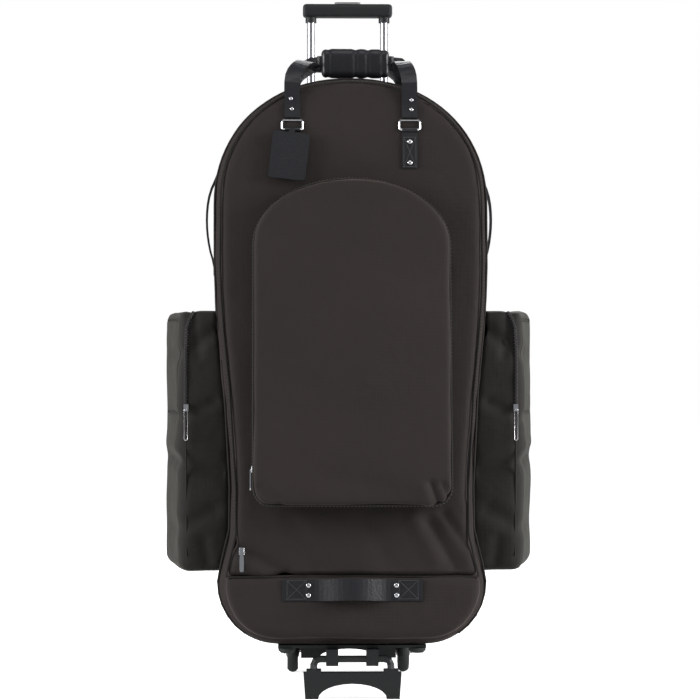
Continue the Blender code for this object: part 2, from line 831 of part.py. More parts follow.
def front_handle_strap():
    """One leather strap from ring to ring, up over the dome's front edge and through the wrap."""
    lift = strap_lift()
    half = WRAP_LENGTH / 2
    centre = Vector((WRAP_SHIFT, WRAP_Y, WRAP_Z))
    sides = {}
    for side in (1, -1):
        foot = strap_anchor(side) + FRONT_UP * lift
        crest = Vector((foot.x - side * 0.001, front_y(TOP_Z) - 0.008, TOP_Z - 0.004))
        lead = centre + Vector((side * (half + STRAP_LEAD * 3), 0, 0))
        entry = centre + Vector((side * (half + STRAP_LEAD * 1.5), 0, 0))
        mouth = centre + Vector((side * (half + GAP), 0, 0))
        held = centre + Vector((side * (half - STRAP_LEAD * 3), 0, 0))
        bend = Vector((foot.x * 0.55 + entry.x * 0.45, WRAP_Y * 0.35 + crest.y * 0.65, WRAP_Z - 0.006))
        sides[side] = [foot, foot + FRONT_UP * STRAP_LEAD * 4, crest, bend, lead, entry, mouth, held]
    points = sides[1] + [centre] + list(reversed(sides[-1]))
    path = smooth_path(points, 4)
    normals = []
    for point in path:
        rise = smooth_step((point.z - TOP_Z + 0.03) / 0.05)
        inward = smooth_step((half + 0.022 - abs(point.x - WRAP_SHIFT)) / 0.022)
        tip = 0.9 * rise * (1 - inward)
        normals.append(Vector((0, -1, tip + (1 - rise) * TAPER)))
    band("front_handle_strap", path, normals, STRAP_WIDTH, STRAP_THICKNESS, BLACK_LEATHER, "front_handle")


def handle_wrap():
    low = (WRAP_SHIFT - WRAP_LENGTH / 2, WRAP_Y - WRAP_DEPTH / 2, WRAP_Z - WRAP_HEIGHT / 2)
    high = (WRAP_SHIFT + WRAP_LENGTH / 2, WRAP_Y + WRAP_DEPTH / 2, WRAP_Z + WRAP_HEIGHT / 2)
    wrap = box("handle_wrap", low, high, BLACK_LEATHER, "front_handle", WRAP_ROUNDING, 3)
    slot = box(
        "wrap_slot",
        (low[0] - WALL, WRAP_Y - STRAP_THICKNESS / 2 - SLOT_GAP, WRAP_Z - STRAP_WIDTH / 2 - SLOT_GAP),
        (high[0] + WALL, WRAP_Y + STRAP_THICKNESS / 2 + SLOT_GAP, WRAP_Z + STRAP_WIDTH / 2 + SLOT_GAP),
    )
    cut(wrap, slot)


def rear_handle_strap():
    """The second carry strap, from the back panel over the dome to rest behind the wrap."""
    lift = strap_lift()
    behind = WRAP_Y + WRAP_DEPTH / 2 + STRAP_THICKNESS / 2 + 0.004
    points = []
    for side in (-1, 1):
        foot = strap_anchor(side, back=True) + Vector((0, 0, lift))
        half = [
            foot,
            foot + Vector((0, 0, 0.024)),
            Vector((foot.x, BACK_Y - 0.012, TOP_Z + 0.006)),
            Vector((foot.x * 0.82, (BACK_Y + behind) / 2, TOP_Z + 0.022)),
            Vector((foot.x * 0.50, behind + 0.006, WRAP_Z)),
        ]
        points += half if side < 0 else [Vector((0, behind, WRAP_Z + 0.002))] + list(reversed(half))
    path = smooth_path(points, 4)
    normals = []
    for point in path:
        rise = smooth_step((point.z - TOP_Z + 0.03) / 0.05)
        inward = smooth_step((STRAP_SPACING * 0.40 - abs(point.x)) / (STRAP_SPACING * 0.2))
        normals.append(Vector((0, 1, 1.1 * rise * (1 - inward))))
    band("rear_handle_strap", path, normals, STRAP_WIDTH, STRAP_THICKNESS, BLACK_LEATHER, "rear_handle")


def front_tabs():
    for side, word in ((-1, "left"), (1, "right")):
        anchor = strap_anchor(side)
        strap_tab(f"front_tab_{word}", anchor, LEAN, -1, BLACK_LEATHER, "lid")
        ring(f"front_ring_{word}", anchor, FRONT_UP, "front_handle")
        back = strap_anchor(side, back=True)
        strap_tab(f"rear_tab_{word}", back, 0.0, 1, BLACK_LEATHER)
        ring(f"rear_ring_{word}", back, Vector((0, 0, 1)), "rear_handle")


def drag_handle():
    """A leather strap on the lower front, riveted flat at both ends and bowed out between them."""
    z = BASE_Z + DRAG_HEIGHT_ON_BODY
    lie = DRAG_THICKNESS / 2 + GAP
    half = DRAG_LENGTH / 2
    flat = DRAG_RIVET_SPACING / 2 - RIVET_HEAD * 2.2
    points = []
    for i in range(17):
        x = flat * (1 - i / 8)
        out = lie + DRAG_BOW * math.cos(math.radians(90 * x / flat)) ** 1.5 if abs(x) < flat else lie
        points.append(Vector((x, front_y(z), z)) + FRONT_NORMAL * out)
    right = Vector((half, front_y(z), z)) + FRONT_NORMAL * lie
    left = Vector((-half, front_y(z), z)) + FRONT_NORMAL * lie
    path = [right] + points + [left]
    band("drag_handle", path, [FRONT_NORMAL] * len(path), DRAG_WIDTH, DRAG_THICKNESS, BLACK_LEATHER)


def rivet_pair(name, centre, up, out, pitch, thickness, parent=None):
    """Two riveted heads on one washer plate, lying on the leather."""
    half_up = up * (pitch / 2 + RIVET_HEAD * 1.3)
    across = up.cross(out).normalized() * (RIVET_HEAD * 1.3)
    low = centre + out * (thickness + GAP * 2)
    corners = [(-1, -1), (1, -1), (1, 1), (-1, 1)]
    rings = [[low + out * level + across * a + half_up * b for a, b in corners]
             for level in (0.0, RIVET_PLATE)]
    plate = loft(name, rings, STEEL, parent)
    for i in (-1, 1):
        foot = low + up * pitch * i / 2 + out * RIVET_PLATE * 0.5
        head = rod(f"{name}_head_{i}", foot, foot + out * RIVET_RISE, RIVET_HEAD, sides=12)
        cut(plate, head, "UNION")


def rivets():
    for side, word in ((-1, "left"), (1, "right")):
        z = BASE_Z + DRAG_HEIGHT_ON_BODY
        centre = Vector((side * DRAG_RIVET_SPACING / 2, front_y(z), z))
        rivet_pair(f"drag_handle_rivets_{word}", centre, FRONT_UP, FRONT_NORMAL,
                   DRAG_RIVET_PITCH, DRAG_THICKNESS + GAP)
        eye = strap_anchor(side) - FRONT_NORMAL * (RING_WIRE / 2 + RUNNING_GAP + EYE_WALL)
        middle = eye - FRONT_UP * TAB_LENGTH * 0.58
        rivet_pair(f"tab_rivets_{word}", middle, FRONT_UP, FRONT_NORMAL,
                   TAB_LENGTH * 0.5, TAB_THICKNESS, "lid")


def grab_handle(side, word):
    """A thin strap on the gusset, sewn flat at both ends, with room for the fingers behind it."""
    low = BASE_Z + GRAB_BOTTOM
    lie = GRAB_THICKNESS / 2 + GAP
    points = []
    for i in range(15):
        share = i / 14
        z = low + GRAB_LENGTH * share
        if z <= DOME_Z:
            x = half_width(z)
        else:
            rise = ((z - DOME_Z) / DOME_HEIGHT) ** DOME_FULLNESS
            x = SHOULDER_HALF_WIDTH * (1 - rise) ** (1 / DOME_FULLNESS)
        end = GRAB_END / GRAB_LENGTH
        free = min(max((share - end) / (1 - 2 * end), 0.0), 1.0)
        x += lie + 0.0006 + GRAB_BOW * math.sin(math.pi * free) ** 0.7
        points.append(Vector((side * x, BACK_Y - GRAB_SETBACK, z)))
    band(f"side_handle_{word}", points, [Vector((side, 0, 0))] * len(points),
         GRAB_WIDTH, GRAB_THICKNESS, BLACK_LEATHER)


def luggage_tag():
    """A stiff leatherette tag that hangs on a narrow loop in front of the left tab."""
    anchor = tag_anchor()
    down = Vector((-math.sin(TAG_TILT), 0, -math.cos(TAG_TILT)))
    down = Vector((down.x, down.z * math.sin(LEAN), down.z * math.cos(LEAN)))
    across = down.cross(FRONT_NORMAL).normalized()
    top = anchor + down * TAG_DROP
    corner = TAG_WIDTH * 0.08
    half = TAG_WIDTH / 2
    outline = []
    for cx, cy, start in ((half - corner, corner, -90), (half - corner, TAG_LENGTH - corner, 0),
                          (-half + corner, TAG_LENGTH - corner, 90), (-half + corner, corner, 180)):
        outline += arc((cx, cy), corner, corner, start, start + 90, 3)
    rings = [[top + across * x + down * y + FRONT_NORMAL * level for x, y in outline]
             for level in (0.0, TAG_THICKNESS)]
    loft("luggage_tag", rings, BLACK_LEATHER, "tag")
    middle = FRONT_NORMAL * TAG_THICKNESS / 2
    start = anchor + middle
    path = [start, start + down * (TAG_DROP - GAP)]
    band("tag_loop", path, [FRONT_NORMAL] * 2, TAG_STRAP_WIDTH, TAG_STRAP_THICKNESS,
         BLACK_LEATHER, "tag")


def tag_anchor():
    """The tag's swing point, in front of the left tab's eye."""
    return strap_anchor(-1) + FRONT_NORMAL * (RING_WIRE / 2 + RUNNING_GAP + EYE_WALL + TAG_CLEARANCE)


# Trolley.


def tube_y():
    return BACK_Y + TUBE_STANDOFF + OUTER_TUBE_RADIUS


def trolley():
    low = BASE_Z + TUBE_FOOT
    top = low + OUTER_TUBE_LENGTH
    grip_low = GRIP_TOP - GRIP_CROWN - GRIP_HEIGHT
    tube_top = grip_low + TUBE_SEAT
    y = tube_y()
    reach = TUBE_SPACING / 2
    bracket = box(
        "trolley_top_bracket",
        (-reach - OUTER_TUBE_RADIUS - TOP_BRACKET_MARGIN, BACK_Y + GAP, top - TOP_BRACKET_HEIGHT),
        (reach + OUTER_TUBE_RADIUS + TOP_BRACKET_MARGIN, BACK_Y + BRACKET_BACK_THICKNESS, top - GAP),
        BLACK_PLASTIC,
    )
    grip = box(
        "trolley_grip",
        (-GRIP_LENGTH / 2, y - GRIP_DEPTH / 2, grip_low),
        (GRIP_LENGTH / 2, y + GRIP_DEPTH / 2, GRIP_TOP),
        BLACK_PLASTIC,
        "trolley",
        GRIP_HEIGHT * 0.3,
        3,
    )
    for side, word in ((-1, "left"), (1, "right")):
        x = side * reach
        outer = rod(f"outer_tube_{word}", (x, y, low), (x, y, top), OUTER_TUBE_RADIUS, ALUMINIUM)
        bore = rod(f"outer_bore_{word}", (x, y, low + TUBE_SEAT), (x, y, top + TUBE_SEAT), OUTER_TUBE_BORE)
        cut(outer, bore)
        hole = rod(f"bracket_hole_{word}", (x, y, low), (x, y, top + WALL), OUTER_TUBE_RADIUS + GAP)
        cut(bracket, hole)
        rod(f"inner_tube_{word}", (x, y, tube_top - INNER_TUBE_LENGTH), (x, y, tube_top - GAP),
            INNER_TUBE_RADIUS, ALUMINIUM, "trolley")
        collar = rod(f"grip_collar_{word}", (x, y, grip_low - COLLAR_DROP),
                     (x, y, grip_low + TUBE_SEAT), COLLAR_RADIUS)
        cut(grip, collar, "UNION")
        seat = rod(f"grip_seat_{word}", (x, y, grip_low - WALL), (x, y, tube_top), INNER_TUBE_RADIUS + GAP)
        cut(grip, seat)
    well_floor = GRIP_TOP + BUTTON_RISE - BUTTON_HEIGHT - BUTTON_TRAVEL - GAP * 2
    oval_block("button_well", well_floor, GRIP_TOP + WALL, BUTTON_LENGTH + RUNNING_GAP * 2,
               BUTTON_WIDTH + RUNNING_GAP * 2)
    cut(grip, bpy.data.objects["button_well"])
    oval_block("release_button", GRIP_TOP + BUTTON_RISE - BUTTON_HEIGHT, GRIP_TOP + BUTTON_RISE,
               BUTTON_LENGTH, BUTTON_WIDTH, GREY_PLASTIC, "button")


def oval_block(name, low, high, length, width, finish=None, parent=None):
    flat = (length - width) / 2
    outline = arc((flat, tube_y()), width / 2, width / 2, -90, 90, 8)
    outline += arc((-flat, tube_y()), width / 2, width / 2, 90, 270, 8)
    return loft(name, [[(x, y, z) for x, y in outline] for z in (low, high)], finish, parent)


# Base, wheels and stand.


def base():
    half = FLARE_HALF_WIDTH - CORNER_RADIUS
    back = BACK_Y - BOARD_MARGIN
    front = seam_y(BASE_Z) + BOARD_MARGIN
    low = BASE_Z - GAP - BOARD_THICKNESS
    box("base_board", (-half, front, low), (half, back, BASE_Z - GAP), BLACK_PLASTIC)
    for side, word in ((-1, "left"), (1, "right")):
        x = side * FOOT_SPACING / 2 - side * FOOT_RADIUS
        y = front_y(BASE_Z) + FOOT_SETBACK
        profile = [(0.0, FOOT_HEIGHT), (FOOT_RADIUS, FOOT_HEIGHT), (FOOT_RADIUS, FOOT_HEIGHT * 0.5),
                   (FOOT_RADIUS * 0.7, 0.0), (0.0, 0.0)]
        turned(f"glide_foot_{word}", profile, (x, y, low - GAP - FOOT_HEIGHT), (0, 0, 1), RUBBER, sides=20)


def wheel_place(side):
    return Vector((side * WHEEL_SPACING / 2, BACK_Y - WHEEL_SETBACK, WHEEL_RADIUS))


def wheel_bracket():
    """A moulded bracket: arched under the base, with a back plate that holds the tubes' feet."""
    reach = WHEEL_SPACING / 2 - WHEEL_WIDTH / 2 - 0.0025
    top = BASE_Z - GAP * 2 - BOARD_THICKNESS
    low = BRACKET_FLOOR_GAP
    front = BACK_Y - BRACKET_FRONT
    back = BACK_Y - 0.0005
    arch = arc((0, low), reach * 0.62, BRACKET_ARCH_RISE, 180, 0, 12)
    outline = [(-reach, top), (-reach, low)] + arch + [(reach, low), (reach, top)]
    rings = [placed(outline, front), placed(outline, BACK_Y + BRACKET_BACK_THICKNESS)]
    bracket = loft("wheel_bracket", rings, BLACK_PLASTIC)
    plate = box("bracket_back", (-reach, BACK_Y + GAP, top - 0.004),
                (reach, BACK_Y + BRACKET_BACK_THICKNESS, top + BRACKET_BACK_HEIGHT))
    cut(bracket, plate, "UNION")
    y = tube_y()
    for side, word in ((-1, "left"), (1, "right")):
        x = side * TUBE_SPACING / 2
        foot = BASE_Z + TUBE_FOOT - GAP
        hole = rod(f"tube_foot_hole_{word}", (x, y, foot), (x, y, foot + WALL * 3), OUTER_TUBE_RADIUS + GAP)
        cut(bracket, hole)
        place = wheel_place(side)
        bore = rod(f"axle_hole_{word}", place - Vector((side * AXLE_GRIP, 0, 0)),
                   place + Vector((side * WHEEL_WIDTH, 0, 0)), AXLE_RADIUS + GAP, sides=20)
        cut(bracket, bore)


def wheels():
    for side, word in ((-1, "left"), (1, "right")):
        place = wheel_place(side)
        axis = (side, 0, 0)
        parent = f"wheel_{word}"
        half = WHEEL_WIDTH / 2
        tread = [(HUB_RADIUS + GAP, half * 0.8), (WHEEL_RADIUS * 0.86, half * 0.8),
                 (WHEEL_RADIUS * 0.96, half * 0.5), (WHEEL_RADIUS, half * 0.15),
                 (WHEEL_RADIUS, -half * 0.15), (WHEEL_RADIUS * 0.96, -half * 0.5),
                 (WHEEL_RADIUS * 0.86, -half * 0.8), (HUB_RADIUS + GAP, -half * 0.8),
                 (HUB_RADIUS + GAP, half * 0.8)]
        turned(f"wheel_tyre_{word}", tread, place, axis, RUBBER, parent, 40)
        bore = AXLE_RADIUS + RUNNING_GAP
        hub = [(bore, half), (bore * 2, half), (HUB_RADIUS * 0.8, half * 0.6), (HUB_RADIUS, half * 0.75),
               (HUB_RADIUS, -half * 0.75), (HUB_RADIUS * 0.8, -half * 0.6), (bore * 2, -half),
               (bore, -half), (bore, half)]
        turned(f"wheel_hub_{word}", hub, place, axis, GREY_PLASTIC, parent, 40)
        out = half + RUNNING_GAP
        axle = [(0.0, out + AXLE_HEAD_HEIGHT), (AXLE_HEAD, out + AXLE_HEAD_HEIGHT), (AXLE_HEAD, out),
                (AXLE_RADIUS, out), (AXLE_RADIUS, -AXLE_GRIP + GAP), (0.0, -AXLE_GRIP + GAP)]
        turned(f"wheel_axle_{word}", axle, place, axis, STEEL, None, 20)


def stand_pivot():
    return Vector((0, front_y(BASE_Z) + STAND_SETBACK, BASE_Z - BOARD_THICKNESS - STAND_PIVOT_DROP))


def stand():
    """A bent bar whose crossbar turns in two lugs under the base, with an arched foot plate."""
    place = stand_pivot()
    reach = STAND_BAR_SPACING / 2
    plate_top = STAND_PLATE_HEIGHT
    toe = Vector((0, -STAND_TOE, 0))
    foot = Vector((reach, place.y, plate_top - STAND_SOCKET_HEIGHT)) + toe * 0.6
    elbow = STAND_BAR_RADIUS * 1.6
    right = [foot, Vector((reach, place.y, place.z - elbow)),
             Vector((reach - elbow * 0.3, place.y, place.z - elbow * 0.3)),
             Vector((reach - elbow, place.y, place.z))]
    left = [Vector((-p.x, p.y, p.z)) for p in reversed(right)]
    wire("stand_bar", right + left, STAND_BAR_RADIUS, STEEL, "stand", resolution=2)
    half = STAND_PLATE_WIDTH / 2
    inner = half - STAND_FOOT_WIDTH
    arch = arc((0, 0.0), inner, STAND_ARCH_HEIGHT, 180, 0, 12)
    outline = [(-half + 0.003, 0.0)] + arch + [(half - 0.003, 0.0), (half, plate_top), (-half, plate_top)]
    y = place.y - STAND_TOE
    thick = STAND_PLATE_THICKNESS / 2
    plate = loft("stand_plate", [placed(outline, y - thick), placed(outline, y + thick)],
                 BLACK_PLASTIC, "stand")
    for side, word in ((-1, "left"), (1, "right")):
        x = side * reach
        sock = box(f"stand_socket_{word}", (x - STAND_SOCKET_WIDTH / 2, y - thick, plate_top - 0.002),
                   (x + STAND_SOCKET_WIDTH / 2, y + thick, plate_top + STAND_SOCKET_HEIGHT))
        cut(plate, sock, "UNION")
        head = Vector((x, place.y, place.z - elbow))
        seat = Vector((x, foot.y, foot.z))
        seat += (seat - head).normalized() * RUNNING_GAP
        hole = rod(f"stand_hole_{word}", seat, head, STAND_BAR_RADIUS + RUNNING_GAP)
        cut(plate, hole)


def stand_lugs():
    place = stand_pivot()
    top = BASE_Z - BOARD_THICKNESS - GAP * 2
    radius = STAND_BAR_RADIUS + RUNNING_GAP
    low = place.z - radius - STAND_LUG_WALL
    for side, word in ((-1, "left"), (1, "right")):
        x = side * STAND_BAR_SPACING * 0.26
        lug = box(f"stand_lug_{word}", (x - STAND_LUG_WIDTH / 2, place.y - radius - STAND_LUG_WALL, low),
                  (x + STAND_LUG_WIDTH / 2, place.y + radius + STAND_LUG_WALL, top), BLACK_PLASTIC)
        hole = rod(f"lug_hole_{word}", (x - WALL, place.y, place.z), (x + WALL, place.y, place.z), radius)
        cut(lug, hole)


# Zip sliders and their pulls.


def slider_and_pull(name, place, out, along, parent, pull_parent):
    """A slider body on the zip, and the flat pull that swings from its bridge."""
    across = out.cross(along).normalized()
    corners = [(-1, -1), (1, -1), (1, 1), (-1, 1)]
    rings = []
    for level, size in ((0.0, 1.0), (SLIDER_HEIGHT * 0.7, 1.0), (SLIDER_HEIGHT, 0.7)):
        rings.append([place + out * level + across * a * SLIDER_WIDTH / 2 * size
                      + along * b * SLIDER_LENGTH / 2 * size for a, b in corners])
    loft(f"{name}_slider", rings, STEEL, parent)
    top = place + out * (SLIDER_HEIGHT + GAP)
    rings = []
    for level in (0.0, PULL_THICKNESS):
        ring_points = []
        for a, b in ((-0.6, 0), (0.6, 0), (1, 0.35), (1, 0.9), (0.7, 1), (-0.7, 1), (-1, 0.9), (-1, 0.35)):
            ring_points.append(top + out * level + across * a * PULL_WIDTH / 2
                               - along * b * PULL_LENGTH)
        rings.append(ring_points)
    loft(f"{name}_pull", rings, STEEL, pull_parent)


def main_slider_place():
    z = HINGE_Z + MAIN_SLIDER_START
    x = -half_width(z) + LID_INSET + FRONT_ROUNDING + SLIDER_WIDTH / 2
    return Vector((x, front_y(z), z)) + FRONT_NORMAL * GAP


def pocket_slider_place():
    z = POCKET_BOTTOM_Z + POCKET_CORNER + POCKET_SLIDER_START
    return Vector((-POCKET_HALF_WIDTH - GAP, front_y(z) - POCKET_DEPTH + SLIDER_WIDTH * 0.6, z))


def add_pivots():
    """Empties on the joints' axes."""
    hinge_y = front_y(HINGE_Z)
    pivot("lid", (0, hinge_y, HINGE_Z))
    pivot("pocket_door", (0, front_y(POCKET_BOTTOM_Z) - POCKET_DEPTH - GAP, POCKET_BOTTOM_Z), "lid")
    front = strap_anchor(1)
    pivot("front_handle", (0, front.y, front.z), "lid")
    back = strap_anchor(1, back=True)
    pivot("rear_handle", (0, back.y, back.z))
    pivot("tag", tag_anchor(), "lid")
    pivot("trolley", (0, tube_y(), GRIP_TOP))
    pivot("button", (0, tube_y(), GRIP_TOP), "trolley")
    pivot("stand", stand_pivot())
    bottom, top, hinge = side_pocket_levels()
    for side, word in ((-1, "left"), (1, "right")):
        pivot(f"wheel_{word}", wheel_place(side))
        start, along, outward = flap_frame(side)
        pivot(f"flap_{word}", (start.x, start.y, hinge))
    pivot("main_slider", main_slider_place(), "lid")
    lift = SLIDER_HEIGHT + GAP + PULL_THICKNESS / 2
    pivot("main_pull", main_slider_place() + FRONT_NORMAL * lift, "main_slider")
    pivot("pocket_slider", pocket_slider_place(), "lid")
    pivot("pocket_pull", pocket_slider_place() - Vector((lift, 0, 0)), "pocket_slider")


def zip_sliders():
    up = FRONT_UP
    slider_and_pull("main_zip", main_slider_place(), FRONT_NORMAL, up, "main_slider", "main_pull")
    slider_and_pull("front_pocket_zip", pocket_slider_place(), Vector((-1, 0, 0)), up,
                    "pocket_slider", "pocket_pull")


def build():
    add_pivots()
    main_shell()
    lower_front_panel()
    lid_panel()
    zip_tape("lid_zip_tape", -TAPE_WIDTH - GAP, -GAP, "lid")
    zip_tape("shell_zip_tape", GAP, TAPE_WIDTH)
    back_board()
    bell_pad()
    bow_cradle()
    front_pocket_gusset()
    front_pocket_door()
    for side, word in ((-1, "left"), (1, "right")):
        side_pocket(side, word)
        side_pocket_flap(side, word)
        grab_handle(side, word)
    front_tabs()
    front_handle_strap()
    handle_wrap()
    rear_handle_strap()
    drag_handle()
    rivets()
    luggage_tag()
    trolley()
    base()
    wheel_bracket()
    wheels()
    stand()
    stand_lugs()
    zip_sliders()


build()
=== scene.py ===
import json
import math

import bmesh
import bpy
from mathutils import Matrix, Vector, noise


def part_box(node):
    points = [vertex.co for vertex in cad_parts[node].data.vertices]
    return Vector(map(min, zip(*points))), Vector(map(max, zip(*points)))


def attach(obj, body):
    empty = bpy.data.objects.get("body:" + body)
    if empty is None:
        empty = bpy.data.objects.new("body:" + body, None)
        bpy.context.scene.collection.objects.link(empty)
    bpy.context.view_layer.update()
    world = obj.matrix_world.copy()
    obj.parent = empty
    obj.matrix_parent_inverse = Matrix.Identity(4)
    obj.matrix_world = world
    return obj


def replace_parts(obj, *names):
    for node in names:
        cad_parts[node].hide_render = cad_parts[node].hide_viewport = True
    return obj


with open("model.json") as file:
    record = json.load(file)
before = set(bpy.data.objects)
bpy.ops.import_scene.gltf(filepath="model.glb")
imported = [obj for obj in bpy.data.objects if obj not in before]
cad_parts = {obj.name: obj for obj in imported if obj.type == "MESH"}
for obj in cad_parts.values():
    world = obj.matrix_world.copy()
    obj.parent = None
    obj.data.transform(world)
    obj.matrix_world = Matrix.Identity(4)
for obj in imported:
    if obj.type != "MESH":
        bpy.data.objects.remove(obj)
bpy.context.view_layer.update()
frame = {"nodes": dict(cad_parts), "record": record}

# Camera.
# The photograph looks straight at the bag's front from about half its height, 4.5 m away and a
# degree to the left, so near pieces stand a little to the right of far ones.
CAMERA_DISTANCE = 4.5
CAMERA_HEIGHT = 0.568
CAMERA_SIDE = math.radians(-1.2)
VIEW_WIDTH = 1.19
SENSOR = 36.0
camera_data = bpy.data.cameras.new("camera")
camera_data.sensor_width = SENSOR
camera_data.lens = SENSOR * CAMERA_DISTANCE / VIEW_WIDTH
camera = bpy.data.objects.new("camera", camera_data)
bpy.context.scene.collection.objects.link(camera)
camera.location = (
    math.sin(CAMERA_SIDE) * CAMERA_DISTANCE,
    -math.cos(CAMERA_SIDE) * CAMERA_DISTANCE,
    CAMERA_HEIGHT,
)
camera.rotation_euler = (math.radians(90), 0, CAMERA_SIDE)
bpy.context.scene.camera = camera
bpy.context.scene.view_settings.view_transform = "Standard"

# Floor.
# A wide pale sheet. A glow that only the camera sees brings it to the white of the photograph's
# background, and the bag's shadow still falls on it.
FLOOR_SIZE = 30
FLOOR_GLOW = 0.72
bpy.ops.object.select_all(action="DESELECT")
bpy.ops.mesh.primitive_plane_add(size=FLOOR_SIZE, location=(0, 0, 0))
floor = bpy.context.object
floor.name = "floor"


def shader_of(name, colour, roughness, metallic=0.0):
    """A new material with its Principled shader's plain values set."""
    made = bpy.data.materials.new(name)
    made.use_nodes = True
    shader = made.node_tree.nodes["Principled BSDF"]
    shader.inputs["Base Color"].default_value = (*colour, 1)
    shader.inputs["Roughness"].default_value = roughness
    shader.inputs["Metallic"].default_value = metallic
    return made, made.node_tree, shader


floor_paint, tree, shader = shader_of("floor_paint", (0.82, 0.82, 0.82), 0.9)
floor_path = tree.nodes.new("ShaderNodeLightPath")
glow = tree.nodes.new("ShaderNodeEmission")
glow.inputs["Strength"].default_value = FLOOR_GLOW
lit = tree.nodes.new("ShaderNodeAddShader")
floor_mix = tree.nodes.new("ShaderNodeMixShader")
tree.links.new(floor_path.outputs["Is Camera Ray"], floor_mix.inputs[0])
tree.links.new(shader.outputs[0], floor_mix.inputs[1])
tree.links.new(shader.outputs[0], lit.inputs[0])
tree.links.new(glow.outputs[0], lit.inputs[1])
tree.links.new(lit.outputs[0], floor_mix.inputs[2])
tree.links.new(floor_mix.outputs[0], tree.nodes["Material Output"].inputs["Surface"])
floor.data.materials.append(floor_paint)

# World.
# White where the camera looks past the floor, and a dim cool fill light for everything else.
world = bpy.data.worlds.new("studio")
bpy.context.scene.world = world
world.use_nodes = True
tree = world.node_tree
fill = tree.nodes["Background"]
fill.inputs["Color"].default_value = (0.9, 0.95, 1, 1)
fill.inputs["Strength"].default_value = 0.42
backdrop = tree.nodes.new("ShaderNodeBackground")
backdrop.inputs["Color"].default_value = (1, 1, 1, 1)
world_path = tree.nodes.new("ShaderNodeLightPath")
world_mix = tree.nodes.new("ShaderNodeMixShader")
tree.links.new(world_path.outputs["Is Camera Ray"], world_mix.inputs[0])
tree.links.new(fill.outputs[0], world_mix.inputs[1])
tree.links.new(backdrop.outputs[0], world_mix.inputs[2])
tree.links.new(world_mix.outputs[0], tree.nodes["World Output"].inputs["Surface"])

# Lamps.
# Two wide lamps light the bag from both sides, nearly along its front, which picks out its seams;
# a weak one above and one behind round it off. Each is given as place, size and power.
LAMP_AIM = Vector((0, 0, 0.55))
for name, place, size, power in (
    ("left_light", (-2.7, -0.9, 1.4), 1.4, 110),
    ("right_light", (2.7, -0.9, 1.3), 1.4, 135),
    ("top_light", (0.2, -1.6, 3.0), 1.5, 18),
    ("back_light", (0.5, 2.8, 2.2), 1.8, 40),
):
    lamp_data = bpy.data.lights.new(name, "AREA")
    lamp_data.energy = power
    lamp_data.size = size
    lamp = bpy.data.objects.new(name, lamp_data)
    bpy.context.scene.collection.objects.link(lamp)
    lamp.location = place
    lamp.rotation_euler = (LAMP_AIM - Vector(place)).to_track_quat("-Z", "Y").to_euler()


# Woven nylon.
# The real bag is dense brown black nylon over foam, with a fine square weave, a soft sheen and
# faint wrinkles where the foam lets it slacken. The side pockets' nylon is a little greyer.
WAVE_SCALE_PER_THREAD = 6.3


def woven(name, colour, sheen_tint, weave=900.0, wrinkle=0.35):
    """A nylon with crossed threads, `weave` of them to the metre, and soft wrinkles in its shading."""
    made, tree, shader = shader_of(name, colour, 0.78)
    shader.inputs["Specular IOR Level"].default_value = 0.16
    shader.inputs["Sheen Weight"].default_value = 0.10
    shader.inputs["Sheen Roughness"].default_value = 0.45
    shader.inputs["Sheen Tint"].default_value = (*sheen_tint, 1)
    place = tree.nodes.new("ShaderNodeTexCoord")
    threads = tree.nodes.new("ShaderNodeMath")
    threads.operation = "MULTIPLY"
    for way, direction in enumerate(("X", "Z")):
        thread_wave = tree.nodes.new("ShaderNodeTexWave")
        thread_wave.bands_direction = direction
        thread_wave.inputs["Scale"].default_value = weave / WAVE_SCALE_PER_THREAD
        tree.links.new(place.outputs["Object"], thread_wave.inputs["Vector"])
        tree.links.new(thread_wave.outputs["Fac"], threads.inputs[way])
    folds = tree.nodes.new("ShaderNodeTexNoise")
    folds.inputs["Scale"].default_value = 14.0
    folds.inputs["Detail"].default_value = 3.0
    tree.links.new(place.outputs["Object"], folds.inputs["Vector"])
    fold_bump = tree.nodes.new("ShaderNodeBump")
    fold_bump.inputs["Strength"].default_value = wrinkle
    fold_bump.inputs["Distance"].default_value = 0.01
    tree.links.new(folds.outputs["Fac"], fold_bump.inputs["Height"])
    weave_bump = tree.nodes.new("ShaderNodeBump")
    weave_bump.inputs["Strength"].default_value = 0.35
    weave_bump.inputs["Distance"].default_value = 0.0006
    tree.links.new(threads.outputs[0], weave_bump.inputs["Height"])
    tree.links.new(fold_bump.outputs["Normal"], weave_bump.inputs["Normal"])
    tree.links.new(weave_bump.outputs["Normal"], shader.inputs["Normal"])
    tone = tree.nodes.new("ShaderNodeTexNoise")
    tone.inputs["Scale"].default_value = 5.0
    tree.links.new(place.outputs["Object"], tone.inputs["Vector"])
    shades = tree.nodes.new("ShaderNodeValToRGB")
    for stop, share in zip(shades.color_ramp.elements, (0.8, 1.25)):
        stop.color = (*[channel * share for channel in colour], 1)
    tree.links.new(tone.outputs["Fac"], shades.inputs["Fac"])
    tree.links.new(shades.outputs["Color"], shader.inputs["Base Color"])
    return made


body_cloth = woven("body_cloth", (0.0135, 0.0104, 0.0094), (0.9, 0.72, 0.66))
pocket_cloth = woven("pocket_cloth", (0.0115, 0.0104, 0.0092), (0.8, 0.78, 0.66), wrinkle=0.5)
tape_cloth = woven("tape_cloth", (0.012, 0.011, 0.011), (0.6, 0.6, 0.6), weave=1400.0, wrinkle=0.0)


def dress(node, made):
    """Gives a CAD node's object its material."""
    obj = frame["nodes"][node]
    obj.data.materials.clear()
    obj.data.materials.append(made)


def corners(node):
    """A CAD node's lowest and highest corners as vectors."""
    low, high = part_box(node)
    return Vector(low), Vector(high)


